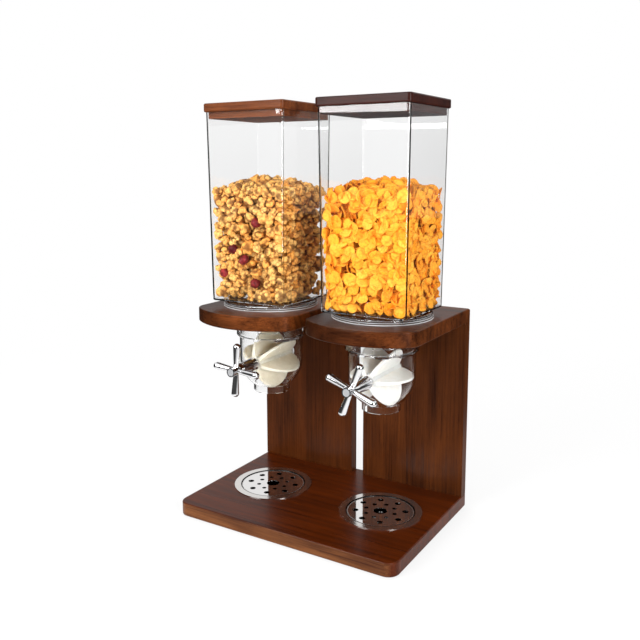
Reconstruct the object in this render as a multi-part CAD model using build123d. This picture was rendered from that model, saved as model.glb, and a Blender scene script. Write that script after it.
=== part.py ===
"""Double cereal dispenser on a wooden stand.

A wooden base carries two upright boards with a gap between them, and each board is mitred to a
bow-fronted shelf. A clear collar on the shelf has a neck down through it, and a clear portion bowl hangs on
the neck's bayonet lugs. A four-spoke knob turns the soft six-paddle wheel in the bowl. A clear tapered hopper
with a wooden lid plugs into the collar, and a drip tray is let into the base under each bowl.

Millimetres. The origin is on the table under the middle of the base, +Z is up and the knobs face -Y.
"""

import os
from math import asin, cos, radians, sin, sqrt

from build123d import *

# Base board
base_width = 361.5
base_depth = 250.0
base_thickness = 20.0
base_corner_radius = 17.0
wood_edge_radius = 1.8

# Pads under the base
pad_thickness = 1.5
pad_radius = 9.0
pad_inset = 26.0

# Upright boards and shelves
unit_gap = 21.0
board_height = 291.0
board_thickness = 16.0
shelf_thickness = 21.0
shelf_depth = 227.0
shelf_bow_radius = 120.0
shelf_corner_radius = 25.0
heel_radius = 5.0

# Dowels in the mitres, screws through the base
dowel_radius = 3.0
dowel_length = 22.0
dowel_cover = 4.0
dowel_count = 3
dowel_spacing = 52.0
screw_radius = 2.5
screw_head_radius = 5.0
screw_length = 50.0
screw_spacing = 104.0
wood_fit = 0.1

# From the base's front edge back to the middle of both dispensers
dispenser_setback = 129.5

# Drip tray and its grate
tray_flange_radius = 61.0
tray_mouth_radius = 50.0
tray_ledge_width = 4.0
tray_ledge_depth = 2.4
tray_depth = 13.0
tray_sheet = 1.0
recess_clearance = 0.6
grate_clearance = 1.0
grate_thickness = 1.4
grate_finger_radius = 10.0
grate_outer_hole_radius = 4.5
grate_outer_hole_circle = 36.5
grate_inner_hole_radius = 3.25
grate_inner_hole_circle = 22.5
grate_hole_count = 8

# Collar on the shelf, its neck through the shelf, and the bayonet lugs at the neck's lower end
collar_radius = 71.0
collar_height = 9.0
collar_lip = 0.8
collar_lip_height = 2.2
collar_round = 3.0
neck_radius = 47.9
neck_wall = 2.4
neck_drop = 24.7
shelf_hole_clearance = 0.6
lug_count = 3
lug_reach = 2.4
lug_height = 9.0
lug_angle = 36.0
lug_turn = 60.0
bayonet_clearance = 0.3

# Portion bowl
bowl_radius = 48.7
bowl_wall = 2.4
axle_drop = 85.0
band_wall = 2.6
band_height = 24.2
band_taper = 5.0
outlet_radius = 25.4
outlet_wall = 2.7
outlet_drop = 50.2

# Hopper
hopper_bottom_width = 129.5
hopper_bottom_depth = 125.5
hopper_top_width = 136.5
hopper_top_depth = 129.5
hopper_height = 278.0
hopper_wall = 2.6
hopper_floor = 3.0
hopper_corner_radius = 5.0
hopper_foot_radius = 2.4
seat_gap = 0.3
spigot_clearance = 0.3
spigot_wall = 2.4
spigot_length = 24.0

# Soft ring between the hopper and the collar
gasket_inner_radius = 52.0
gasket_width = 5.0
gasket_groove = 1.8
gasket_clearance = 0.1

# Lid
lid_overhang = 2.5
lid_thickness = 12.6
lid_corner_radius = 5.5
lid_edge_radius = 2.2
plug_clearance = 0.7
plug_height = 9.5
plug_corner_radius = 3.5

# Paddle wheel
paddle_count = 6
paddle_clearance = 0.8
paddle_root_thickness = 6.4
paddle_tip_thickness = 3.4
paddle_corner_radius = 6.0
paddle_edge_radius = 1.3
wheel_hub_radius = 10.2
wheel_core_radius = 7.4
wheel_end_clearance = 2.8

# Axle and its bearings
axle_radius = 4.0
axle_flats = 6.2
drive_clearance = 0.05
running_clearance = 0.06
boss_radius = 8.0
boss_length = 6.0
bush_radius = 6.0
bush_flange_radius = 7.4
bush_flange = 1.2
blind_wall = 1.5
axle_end_clearance = 0.5

# Knob, with distances back from its front face
knob_reach = 103.4
knob_rim_radius = 6.8
knob_rim_length = 4.0
knob_waist_radius = 6.3
knob_body_radius = 8.6
knob_length = 23.4
spoke_setback = 13.4
spoke_reach = 40.5
spoke_root_radius = 3.5
spoke_tip_radius = 5.65
spoke_count = 4
cap_radius = 5.3
cap_thickness = 1.8
cap_recess = 0.4
knob_web = 1.6
knob_screw_radius = 2.0
knob_screw_head_radius = 3.7
knob_screw_head = 2.4
knob_screw_length = 11.0
sleeve_front_radius = 8.4
sleeve_rear_radius = 10.4
sleeve_wall = 1.2
sleeve_gap = 0.5

# Each side's sign along X, the lean of its knob and of its paddles to the right of upright, and its grate's turn
sides = {"left": -1, "right": 1}
knob_lean = {"left": 4.0, "right": 21.5}
paddle_lean = {"left": 47.3, "right": 31.0}
grate_turn = {"left": 19.0, "right": 26.0}

# Levels and places that follow from the sizes
front_y = -base_depth / 2
back_y = base_depth / 2
board_front_y = back_y - board_thickness
board_middle_y = back_y - board_thickness / 2
base_bottom = pad_thickness
base_top = base_bottom + base_thickness
shelf_top = base_top + board_height
shelf_bottom = shelf_top - shelf_thickness
shelf_front_y = back_y - shelf_depth
unit_width = (base_width - unit_gap) / 2
unit_x = (unit_gap + unit_width) / 2
dispenser_y = front_y + dispenser_setback
axle_z = shelf_top - axle_drop
collar_top = shelf_top + collar_height
neck_bottom = shelf_bottom - neck_drop
neck_bore_radius = neck_radius - neck_wall
lug_top = neck_bottom + lug_height
hopper_bottom = collar_top + seat_gap
hopper_top = hopper_bottom + hopper_height
socket_radius = neck_radius + lug_reach + bayonet_clearance
band_radius = socket_radius + band_wall
band_top = shelf_bottom - bayonet_clearance
band_bottom = band_top - band_height
bowl_bore_radius = bowl_radius - bowl_wall
outlet_bottom = axle_z - outlet_drop
tray_top = base_top + tray_sheet
grate_bottom = tray_top - tray_ledge_depth
wheel_radius = bowl_bore_radius - paddle_clearance
wheel_half_length = bowl_bore_radius - wheel_end_clearance
bush_front = bowl_radius + boss_length
blind_end = bush_front - blind_wall
axle_rear = axle_end_clearance - blind_end
knob_rear = knob_reach - knob_length
cap_seat = knob_reach - cap_recess - cap_thickness
screw_seat = cap_seat - knob_screw_head - axle_end_clearance
axle_front = screw_seat - knob_web - axle_end_clearance
sleeve_rear = bowl_radius + sleeve_gap


def lathe(outline):
    """Solid of revolution about Z of a closed outline drawn as (radius, height)."""
    return revolve(Plane.XZ * make_face(outline), Axis.Z)


def rod(radius, low, high):
    """Rod about Z between two heights."""
    return Pos(0, 0, (low + high) / 2) * Cylinder(radius, high - low)


def ring(outer, inner, low, high):
    """Ring about Z between two heights."""
    return rod(outer, low, high) - rod(inner, low, high)


def sector(outer, inner, low, high, angle):
    """Part of a ring about Z, one angle wide, centred on +X."""
    half = radians(angle / 2)
    reach = 2 * outer
    wedge = make_face(Polyline(
        (0, 0), (reach * cos(half), -reach * sin(half)), (reach * cos(half), reach * sin(half)), (0, 0)))
    return ring(outer, inner, low, high) & (Pos(0, 0, low) * extrude(wedge, high - low))


def flatted_rod(radius, flats, low, high):
    """Rod about Z with two flats."""
    return rod(radius, low, high) & Pos(0, 0, (low + high) / 2) * Box(2 * radius, flats, high - low)


def at_dispenser(sign, shape):
    """Move a shape from the origin's vertical line to a dispenser's."""
    return Pos(sign * unit_x, dispenser_y, 0) * shape


def along_axle(shape, lean=0.0):
    """Lay a shape's Z axis along the axle, pointing forward, and its Y axis up; lean it to the right."""
    return Pos(0, 0, axle_z) * Rot(90, 0, 0) * Rot(0, 0, -lean) * shape


def around(count, shape):
    """Copies of a shape round Z, evenly spread, the first one as drawn."""
    return [Rot(0, 0, k * 360 / count) * shape for k in range(count)]


def screw_places():
    """Middle of each base screw's head, under the middle of the upright boards."""
    return [Pos(sign * unit_x + step, board_middle_y, base_bottom)
            for sign in sides.values() for step in (-screw_spacing / 2, screw_spacing / 2)]


def dowel_places(sign):
    """Middle of each dowel of one mitre."""
    z = shelf_top - dowel_cover - dowel_length / 2
    first = -(dowel_count - 1) / 2
    return [Pos(sign * unit_x + (first + k) * dowel_spacing, board_middle_y, z) for k in range(dowel_count)]


def flat_head_screw(radius, head_radius, length):
    """Wood screw pointing up, with its flat head at height 0."""
    head = head_radius - radius
    return lathe(Polyline(
        (0, 0), (head_radius, 0), (radius, head), (radius, length - radius), (0, length), (0, 0)))


def base_board():
    """Board with two round front corners, two tray recesses and countersunk screw holes."""
    plan = Rectangle(base_width, base_depth)
    plan = fillet(plan.vertices().group_by(Axis.Y)[0], base_corner_radius)
    board = Pos(0, 0, base_bottom) * extrude(plan, base_thickness)
    rims = board.edges().group_by(Axis.Z)
    board = fillet(rims[0] + rims[-1], wood_edge_radius)
    recess_radius = tray_mouth_radius + tray_sheet + recess_clearance
    recess_floor = tray_top - tray_depth - recess_clearance
    for sign in sides.values():
        board -= at_dispenser(sign, rod(recess_radius, recess_floor, base_top))
    for place in screw_places():
        board -= place * flat_head_screw(screw_radius + wood_fit, screw_head_radius + wood_fit, screw_length)
    return board


def foot_pads():
    """Four round pads under the base's corners."""
    x = base_width / 2 - pad_inset
    y = base_depth / 2 - pad_inset
    return Compound(children=[Pos(i * x, j * y) * rod(pad_radius, 0, pad_thickness)
                              for i in (-1, 1) for j in (-1, 1)])


def base_screws():
    """Four wood screws, up through the base into the boards."""
    return Compound(children=[place * flat_head_screw(screw_radius, screw_head_radius, screw_length)
                              for place in screw_places()])


def mitre_side(above):
    """Large wedge above or below the mitre plane, from the inner corner to the outer one."""
    rise = shelf_thickness / board_thickness
    reach = 2 * base_depth
    low = (board_front_y - reach, shelf_bottom - reach * rise)
    high = (back_y + reach, shelf_top + reach * rise)
    corner = (low[0], high[1]) if above else (high[0], low[1])
    return extrude(Plane.YZ * make_face(Polyline(low, high, corner, low)), unit_width, both=True)


def angle_frame():
    """Shelf and upright board of one unit as one square-edged angle, with a round heel."""
    profile = make_face(Polyline(
        (back_y, base_top), (back_y, shelf_top), (shelf_front_y, shelf_top), (shelf_front_y, shelf_bottom),
        (board_front_y, shelf_bottom), (board_front_y, base_top), (back_y, base_top)))
    heel = profile.vertices().sort_by(lambda v: v.X + v.Y)[-1]
    return extrude(Plane.YZ * fillet(heel, heel_radius), unit_width / 2, both=True)


def shelf_plan():
    """Outline of a shelf from above: straight sides, and a front that bows out to the middle."""
    half = unit_width / 2
    side_y = shelf_front_y + shelf_bow_radius - sqrt(shelf_bow_radius**2 - half**2)
    bow = ThreePointArc((-half, side_y), (0, shelf_front_y), (half, side_y))
    plan = make_face(bow + Polyline((half, side_y), (half, back_y), (-half, back_y), (-half, side_y)))
    return fillet(plan.vertices().group_by(Axis.Y)[0], shelf_corner_radius)


def shelf(sign):
    """Bow-fronted shelf with a mitred back, a hole for the collar's neck and its part of the dowel holes."""
    board = angle_frame() & extrude(shelf_plan(), shelf_top) & mitre_side(above=True)
    faces = board.faces().sort_by(Axis.Z)
    rims = faces[-1].edges() + faces[0].edges()
    board = fillet([e for e in rims if e.center().Y < board_front_y - wood_edge_radius], wood_edge_radius)
    board = Pos(sign * unit_x, 0, 0) * board
    board -= at_dispenser(sign, rod(neck_radius + shelf_hole_clearance, shelf_bottom, shelf_top))
    for place in dowel_places(sign):
        board -= place * Cylinder(dowel_radius + wood_fit, dowel_length + 2 * wood_fit)
    return board


def back_board(sign):
    """Upright board under the mitre, with its part of the dowel holes and pilot holes for the screws."""
    board = Pos(sign * unit_x, 0, 0) * (angle_frame() & mitre_side(above=False))
    for place in dowel_places(sign):
        board -= place * Cylinder(dowel_radius + wood_fit, dowel_length + 2 * wood_fit)
    for place in screw_places():
        board -= place * flat_head_screw(screw_radius + wood_fit, screw_head_radius, screw_length + wood_fit)
    return board


def mitre_dowels(sign):
    """Upright dowels that tie a shelf to its board."""
    return Compound(children=[place * Cylinder(dowel_radius, dowel_length) for place in dowel_places(sign)])


def tray_cup():
    """Pressed cup: a flat flange on the base, a ledge for the grate and a shallow well."""
    s = tray_sheet
    ledge_radius = tray_mouth_radius - tray_ledge_width
    floor = tray_top - tray_depth
    return lathe(Polyline(
        (tray_flange_radius, tray_top), (tray_mouth_radius, tray_top), (tray_mouth_radius, grate_bottom),
        (ledge_radius, grate_bottom), (ledge_radius, floor + s), (0, floor + s), (0, floor),
        (ledge_radius + s, floor),
        (ledge_radius + s, grate_bottom - s), (tray_mouth_radius + s, grate_bottom - s),
        (tray_mouth_radius + s, base_top), (tray_flange_radius, base_top), (tray_flange_radius, tray_top)))


def tray_grate():
    """Round plate on the tray's ledge, with a finger hole and two rings of drain holes half a step apart."""
    high = grate_bottom + grate_thickness
    plate = ring(tray_mouth_radius - grate_clearance, grate_finger_radius, grate_bottom, high)
    outer = Pos(grate_outer_hole_circle, 0) * rod(grate_outer_hole_radius, grate_bottom, high)
    inner = Pos(grate_inner_hole_circle, 0) * rod(grate_inner_hole_radius, grate_bottom, high)
    half_step = 180 / grate_hole_count
    return plate - around(grate_hole_count, outer) - Rot(0, 0, half_step) * Compound(
        children=around(grate_hole_count, inner))


def collar():
    """Clear ring on the shelf with a round rim, and a neck through the shelf that ends in bayonet lugs."""
    lip_top = shelf_top + collar_lip_height
    outline = Polyline(
        (neck_bore_radius, collar_top), (collar_radius, collar_top), (collar_radius, lip_top),
        (collar_radius + collar_lip, lip_top), (collar_radius + collar_lip, shelf_top),
        (neck_radius, shelf_top),
        (neck_radius, neck_bottom), (neck_bore_radius, neck_bottom), (neck_bore_radius, collar_top))
    body = lathe(outline)
    rim = body.edges().group_by(Axis.Z)[-1].sort_by(SortBy.RADIUS)[-1]
    body = fillet(rim, collar_round)
    groove_floor = collar_top - gasket_groove
    body -= ring(gasket_inner_radius + gasket_width, gasket_inner_radius, groove_floor, collar_top)
    lug = sector(neck_radius + lug_reach, neck_radius - neck_wall / 2, neck_bottom, lug_top, lug_angle)
    for copy in around(lug_count, Rot(0, 0, lug_turn) * lug):
        body += copy
    return body


def gasket():
    """Soft flat ring in the collar's groove, up to the hopper's floor."""
    c = gasket_clearance
    return ring(gasket_inner_radius + gasket_width - c, gasket_inner_radius + c,
                collar_top - gasket_groove, hopper_bottom)


def round_bottom(radius, mouth):
    """Quarter-round line of a bowl's bottom, from its widest level down to the outlet's radius."""
    turn = (asin(mouth / radius) + radians(90)) / 2
    middle = (radius * sin(turn), axle_z - radius * cos(turn))
    return ThreePointArc((radius, axle_z), middle, (mouth, axle_z - sqrt(radius**2 - mouth**2)))


def bowl_outside():
    """Outside of the bowl: band, straight wall, round bottom and outlet ring."""
    outer = outlet_radius + outlet_wall
    round_end = axle_z - sqrt(bowl_radius**2 - outer**2)
    return lathe(
        Polyline((outer, round_end), (outer, outlet_bottom), (0, outlet_bottom), (0, band_top),
                 (band_radius, band_top), (band_radius, band_bottom), (bowl_radius, band_bottom - band_taper),
                 (bowl_radius, axle_z))
        + round_bottom(bowl_radius, outer))


def bowl_inside():
    """Space inside the bowl: socket for the neck, straight bore, round bottom and outlet."""
    socket_floor = neck_bottom - bayonet_clearance
    round_end = axle_z - sqrt(bowl_bore_radius**2 - outlet_radius**2)
    return lathe(
        Polyline((outlet_radius, round_end), (outlet_radius, outlet_bottom), (0, outlet_bottom),
                 (0, shelf_bottom), (socket_radius, shelf_bottom), (socket_radius, socket_floor),
                 (bowl_bore_radius, socket_floor), (bowl_bore_radius, axle_z))
        + round_bottom(bowl_bore_radius, outlet_radius))


def bowl():
    """Clear portion bowl with a bayonet band, a boss for each bearing and an outlet."""
    body = bowl_outside() + along_axle(rod(boss_radius, -bush_front, bush_front)) - bowl_inside()
    body -= along_axle(rod(bush_radius + drive_clearance, -blind_end, bush_front))
    lug = sector(socket_radius + band_wall / 2, neck_radius + bayonet_clearance,
                 lug_top + bayonet_clearance, band_top, lug_angle)
    for copy in around(lug_count, Rot(0, 0, lug_turn) * lug):
        body += copy
    return body


def front_bush():
    """Flanged bearing in the bowl's front boss."""
    bore = axle_radius + running_clearance
    barrel = ring(bush_radius, bore, bowl_bore_radius, bush_front)
    return along_axle(barrel + ring(bush_flange_radius, bore, bush_front, bush_front + bush_flange))


def rear_bush():
    """Plain bearing in the bowl's blind rear boss."""
    return along_axle(ring(bush_radius, axle_radius + running_clearance, -blind_end, -bowl_bore_radius))


def axle():
    """Round axle, tapped at the front, with two flats where it drives the wheel and is driven by the knob."""
    middle = flatted_rod(axle_radius, axle_flats, -wheel_half_length, wheel_half_length)
    rear = rod(axle_radius, axle_rear, -wheel_half_length)
    front = rod(axle_radius, wheel_half_length, knob_rear)
    end = flatted_rod(axle_radius, axle_flats, knob_rear, axle_front)
    tapped = rod(knob_screw_radius, screw_seat - knob_screw_length, axle_front)
    return rear + middle + front + end - tapped


def wheel_core():
    """Stiff tube that takes the drive from the axle's flats."""
    c = drive_clearance
    bore = flatted_rod(axle_radius + c, axle_flats + 2 * c, -wheel_half_length, wheel_half_length)
    return rod(wheel_core_radius, -wheel_half_length, wheel_half_length) - bore


def paddle():
    """One soft paddle, standing along +Y: a half disc as long as the hub, which thins to its round rim."""
    half = Circle(wheel_radius) & Pos(0, wheel_radius) * Rectangle(2 * wheel_half_length, 2 * wheel_radius)
    corners = half.vertices().sort_by(Axis.Y)[2:]
    half = fillet(corners, paddle_corner_radius)
    upright = Plane((0, 0, 0), x_dir=(0, 0, 1), z_dir=(-1, 0, 0))
    blank = extrude(upright * half, paddle_root_thickness, both=True)
    root = paddle_root_thickness / 2
    tip = paddle_tip_thickness / 2
    taper = make_face(Polyline((-root, 0), (root, 0), (tip, wheel_radius), (-tip, wheel_radius), (-root, 0)))
    blade = blank & extrude(taper, wheel_half_length, both=True)
    rims = [e for e in blade.edges() if e.center().Y > wheel_core_radius]
    return fillet(rims, paddle_edge_radius)


def paddle_wheel():
    """Soft wheel of half-disc paddles round a sleeve that grips the core, at any turn."""
    wheel = rod(wheel_hub_radius, -wheel_half_length, wheel_half_length)
    for copy in around(paddle_count, paddle()):
        wheel += copy
    return wheel - rod(wheel_core_radius, -wheel_half_length, wheel_half_length)


def spoke():
    """One knob spoke along +Y: a cone that widens to a ball end, tangent to it."""
    ball = spoke_reach - spoke_tip_radius
    slope = asin((spoke_tip_radius - spoke_root_radius) / ball)
    half = (radians(90) + slope) / 2
    edge = (spoke_tip_radius * cos(slope), ball - spoke_tip_radius * sin(slope))
    middle = (spoke_tip_radius * cos(slope - half), ball - spoke_tip_radius * sin(slope - half))
    return Rot(-90, 0, 0) * lathe(
        Polyline((0, spoke_reach), (0, 0), (spoke_root_radius * cos(slope), 0), edge)
        + ThreePointArc(edge, middle, (0, spoke_reach)))


def knob():
    """Four-spoke knob: a round rim at the front, a waist, and a body that widens to the back."""
    rim = knob_reach - knob_rim_length
    waist = knob_reach - spoke_setback + spoke_root_radius
    flare = knob_reach - spoke_setback - spoke_root_radius
    hub = lathe(
        Polyline((knob_body_radius, knob_rear), (0, knob_rear), (0, knob_reach),
                 (knob_rim_radius, knob_reach), (knob_rim_radius, rim), (knob_waist_radius, waist),
                 (knob_waist_radius, flare), (knob_body_radius, knob_rear)))
    body = hub
    for copy in around(spoke_count, spoke()):
        body += Pos(0, 0, knob_reach - spoke_setback) * copy
    c = drive_clearance
    body -= flatted_rod(axle_radius + c, axle_flats + 2 * c, knob_rear, screw_seat - knob_web)
    body -= rod(knob_screw_radius + running_clearance, screw_seat - knob_web, screw_seat)
    body -= rod(knob_screw_head_radius + axle_end_clearance, screw_seat, cap_seat)
    return body - rod(cap_radius + drive_clearance, cap_seat, knob_reach)


def knob_screw():
    """Machine screw that holds the knob on the axle."""
    tip = screw_seat - knob_screw_length + drive_clearance
    shank = rod(knob_screw_radius - drive_clearance, tip, screw_seat)
    return shank + rod(knob_screw_head_radius, screw_seat, screw_seat + knob_screw_head)


def knob_cap():
    """Round cap pressed into the knob's rim."""
    return rod(cap_radius, cap_seat, cap_seat + cap_thickness)


def axle_sleeve():
    """Chrome sleeve between the knob and the bowl, widening to the back over the boss and its bearing."""
    web = knob_rear - sleeve_wall
    inside_front = sleeve_front_radius - sleeve_wall
    inside_rear = sleeve_rear_radius - sleeve_wall
    bore = axle_radius + running_clearance
    return lathe(Polyline(
        (sleeve_rear_radius, sleeve_rear), (sleeve_front_radius, knob_rear), (bore, knob_rear), (bore, web),
        (inside_front, web), (inside_rear, sleeve_rear), (sleeve_rear_radius, sleeve_rear)))


def hopper_block(inset, low, high):
    """Tapered block with round corners between two levels, one inset inside the hopper's outline."""
    def outline(z):
        share = (z - hopper_bottom) / hopper_height
        width = hopper_bottom_width + share * (hopper_top_width - hopper_bottom_width) - 2 * inset
        depth = hopper_bottom_depth + share * (hopper_top_depth - hopper_bottom_depth) - 2 * inset
        return Pos(0, 0, z) * RectangleRounded(width, depth, hopper_corner_radius - inset)
    return loft([outline(low), outline(high)])


def hopper():
    """Clear tapered hopper with a floor and a round spigot that plugs into the collar's neck."""
    body = hopper_block(0, hopper_bottom, hopper_top)
    body = fillet(body.edges().group_by(Axis.Z)[0], hopper_foot_radius)
    body -= hopper_block(hopper_wall, hopper_bottom + hopper_floor, hopper_top)
    spigot_radius = neck_bore_radius - spigot_clearance
    spigot_bottom = hopper_bottom - spigot_length
    body += rod(spigot_radius, spigot_bottom, hopper_bottom)
    return body - rod(spigot_radius - spigot_wall, spigot_bottom, hopper_bottom + hopper_floor)


def lid_plate():
    """Wooden plate on the hopper's rim, with round edges."""
    width = hopper_top_width + 2 * lid_overhang
    depth = hopper_top_depth + 2 * lid_overhang
    plate = Pos(0, 0, hopper_top) * extrude(RectangleRounded(width, depth, lid_corner_radius), lid_thickness)
    rims = plate.edges().group_by(Axis.Z)
    return fillet(rims[0] + rims[-1], lid_edge_radius)


def lid_plug():
    """Wooden plug under the plate, just inside the hopper's mouth."""
    inset = 2 * (hopper_wall + plug_clearance)
    plan = RectangleRounded(hopper_top_width - inset, hopper_top_depth - inset, plug_corner_radius)
    return Pos(0, 0, hopper_top - plug_height) * extrude(plan, plug_height)


def standing_pieces():
    """The pieces of one dispenser that don't turn with the knob, round the origin's vertical line."""
    return {
        "collar": collar(),
        "hopper_gasket": gasket(),
        "bowl": bowl(),
        "front_bush": front_bush(),
        "rear_bush": rear_bush(),
        "hopper": hopper(),
        "lid_plate": lid_plate(),
        "lid_plug": lid_plug(),
        "tray_cup": tray_cup(),
    }


def turning_pieces():
    """The pieces of one dispenser that turn with the knob, along Z with the front at the top."""
    return {
        "axle": axle(),
        "wheel_core": wheel_core(),
        "paddle_wheel": paddle_wheel(),
        "knob": knob(),
        "knob_screw": knob_screw(),
        "knob_cap": knob_cap(),
        "axle_sleeve": axle_sleeve(),
    }


def pieces():
    """Every piece of the stand and of both dispensers, by name."""
    named = {"base_board": base_board(), "foot_pads": foot_pads(), "base_screws": base_screws()}
    standing = standing_pieces()
    turning = turning_pieces()
    grate = tray_grate()
    for side, sign in sides.items():
        named[f"back_board_{side}"] = back_board(sign)
        named[f"shelf_{side}"] = shelf(sign)
        named[f"mitre_dowels_{side}"] = mitre_dowels(sign)
        named[f"tray_grate_{side}"] = at_dispenser(sign, Rot(0, 0, grate_turn[side]) * grate)
        for name, shape in standing.items():
            named[f"{name}_{side}"] = at_dispenser(sign, shape)
        for name, shape in turning.items():
            lean = paddle_lean[side] if name == "paddle_wheel" else knob_lean[side]
            named[f"{name}_{side}"] = at_dispenser(sign, along_axle(shape, lean))
    return named


if __name__ == "__main__":
    os.makedirs("parts", exist_ok=True)
    for name, shape in pieces().items():
        export_step(shape, f"parts/{name}.step")
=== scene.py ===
"""Looks of a double cereal dispenser on a wooden stand.

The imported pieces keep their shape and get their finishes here. The hoppers' cereal is added, and a plain
studio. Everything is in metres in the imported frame: +X right, the knobs face -Y, +Z up, table at height 0.
"""

import logging
import math
from dataclasses import dataclass
from enum import Enum

import bpy
import numpy as np
from mathutils import Euler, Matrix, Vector


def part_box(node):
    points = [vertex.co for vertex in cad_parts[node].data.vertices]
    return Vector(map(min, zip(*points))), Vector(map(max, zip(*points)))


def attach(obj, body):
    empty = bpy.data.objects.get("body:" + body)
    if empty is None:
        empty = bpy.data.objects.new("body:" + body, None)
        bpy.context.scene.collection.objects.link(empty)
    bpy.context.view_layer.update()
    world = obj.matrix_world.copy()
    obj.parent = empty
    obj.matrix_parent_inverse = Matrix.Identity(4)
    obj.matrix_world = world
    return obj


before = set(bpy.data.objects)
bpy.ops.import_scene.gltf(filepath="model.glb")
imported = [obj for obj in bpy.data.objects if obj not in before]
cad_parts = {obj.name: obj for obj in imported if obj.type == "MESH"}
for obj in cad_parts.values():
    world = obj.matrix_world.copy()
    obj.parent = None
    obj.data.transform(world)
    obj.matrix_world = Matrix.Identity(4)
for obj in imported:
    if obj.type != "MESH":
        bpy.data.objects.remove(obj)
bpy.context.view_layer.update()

LOG = logging.getLogger("dispenser")
Colour = tuple[float, float, float]
Pair = tuple[float, float]
Faces = list[tuple[int, ...]]
Socket = bpy.types.NodeSocket
Sockets = bpy.types.bpy_prop_collection
Source = Socket | float | tuple[float, ...]
MM = 0.001
# from the plane between the dispensers to the middle of each hopper
HOPPER_X = 95.625 * MM


class Side(Enum):
    """One of the two dispensers, by its sign along X."""

    LEFT = -1
    RIGHT = 1

    @property
    def word(self) -> str:
        """The side's name as it ends the nodes' names."""
        return self.name.lower()


class Along(Enum):
    """The row axis that a board's grain follows, with the turn that brings it onto X."""

    X = (0.0, 0.0, 0.0)
    Z = (0.0, math.pi / 2, 0.0)


def linear(red: int, green: int, blue: int) -> Colour:
    """Scene-linear colour of an sRGB colour given as 0 to 255.

    Args:
        red, green, blue: the channels as read from a screen.

    Returns:
        The channels on the linear scale that shaders use.
    """
    def channel(value: int) -> float:
        """One channel, by the sRGB curve: straight at its foot and a power above it."""
        share = value / 255
        return share / 12.92 if share <= 0.04045 else ((share + 0.055) / 1.055) ** 2.4
    return channel(red), channel(green), channel(blue)


class Graph:
    """A shader node tree that is built by short calls."""

    def __init__(self, tree: bpy.types.NodeTree) -> None:
        """Start from an empty tree."""
        self.tree = tree
        self.tree.nodes.clear()

    def node(self, kind: str, settings: dict[str, object] | None = None, **inputs: Source) -> bpy.types.Node:
        """Add one node.

        Args:
            kind: the node's type after "ShaderNode".
            settings: the node's own properties.
            inputs: a socket's name with spaces as underscores, or in0, in1 by place, and its value or source.

        Returns:
            The new node.
        """
        made = self.tree.nodes.new("ShaderNode" + kind)
        for name, value in (settings or {}).items():
            setattr(made, name, value)
        for name, value in inputs.items():
            place = name[2:]
            by_place = name.startswith("in") and place.isdigit()
            self.feed(made.inputs[int(place) if by_place else name.replace("_", " ")], value)
        return made

    def feed(self, socket: Socket, value: Source) -> None:
        """Link a source to an input, or set the input's own value.

        Args:
            socket: the input.
            value: a socket, number, vector or colour.
        """
        if isinstance(value, Socket):
            self.tree.links.new(value, socket)
        elif socket.type == "RGBA" and len(value) == 3:
            socket.default_value = (*value, 1.0)
        else:
            socket.default_value = value

    def math(self, operation: str, first: Source, second: Source = 0.0, third: Source = 0.0) -> Socket:
        """Result of a Math node on up to three numbers or sockets."""
        return self.node("Math", {"operation": operation}, in0=first, in1=second, in2=third).outputs[0]

    def mix(self, factor: Source, first: Source, second: Source) -> Socket:
        """Colour between two colours.

        Args:
            factor: 0 for the first, 1 for the second.
            first, second: the colours.

        Returns:
            The mixed colour.
        """
        made = self.node("Mix", {"data_type": "RGBA"}, in0=factor)
        self.feed(made.inputs[6], first)
        self.feed(made.inputs[7], second)
        return made.outputs[2]

    def spread(self, value: Source, low: float, high: float, to_low: float = 0.0,
               to_high: float = 1.0) -> Socket:
        """A value's stretch from low to high, mapped to another stretch and held at its ends."""
        return self.node("MapRange", {"clamp": True}, in0=value, in1=low, in2=high, in3=to_low,
                         in4=to_high).outputs[0]

    def part(self, vector: Source, axis: int) -> Socket:
        """One axis of a vector, 0 for X to 2 for Z."""
        return self.node("SeparateXYZ", {}, in0=vector).outputs[axis]

    def scaled(self, vector: Source, x: float, y: float, z: float) -> Socket:
        """A vector with each axis stretched by its own factor."""
        return self.node("VectorMath", {"operation": "MULTIPLY"}, in0=vector, in1=(x, y, z)).outputs[0]

    def sized(self, vector: Source, size: Source) -> Socket:
        """A vector measured in steps of a size."""
        steps = self.math("DIVIDE", 1.0, size)
        return self.node("VectorMath", {"operation": "SCALE"}, in0=vector, Scale=steps).outputs[0]

    def off_axis(self, vector: Source, centre: Pair, foot: float = 0.0) -> Socket:
        """A place measured from the foot of an upright axis."""
        return self.node("VectorMath", {"operation": "SUBTRACT"}, in0=vector, in1=(*centre, foot)).outputs[0]

    def radius(self, vector: Source) -> Socket:
        """A vector's length across the upright axis."""
        flat = self.scaled(vector, 1.0, 1.0, 0.0)
        return self.node("VectorMath", {"operation": "LENGTH"}, in0=flat).outputs["Value"]

    def bump(self, height: Source, depth: float, strength: float) -> Socket:
        """Normals of a relief of some depth, from its height between 0 and 1."""
        return self.node("Bump", {}, Strength=strength, Distance=depth, Height=height).outputs[0]

    def noise(self, vector: Source, scale: float, detail: float = 2.0, roughness: float = 0.5,
              distortion: float = 0.0) -> Socket:
        """Value of a noise texture at a vector."""
        return self.node("TexNoise", {}, Vector=vector, Scale=scale, Detail=detail, Roughness=roughness,
                         Distortion=distortion).outputs["Fac"]


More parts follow.
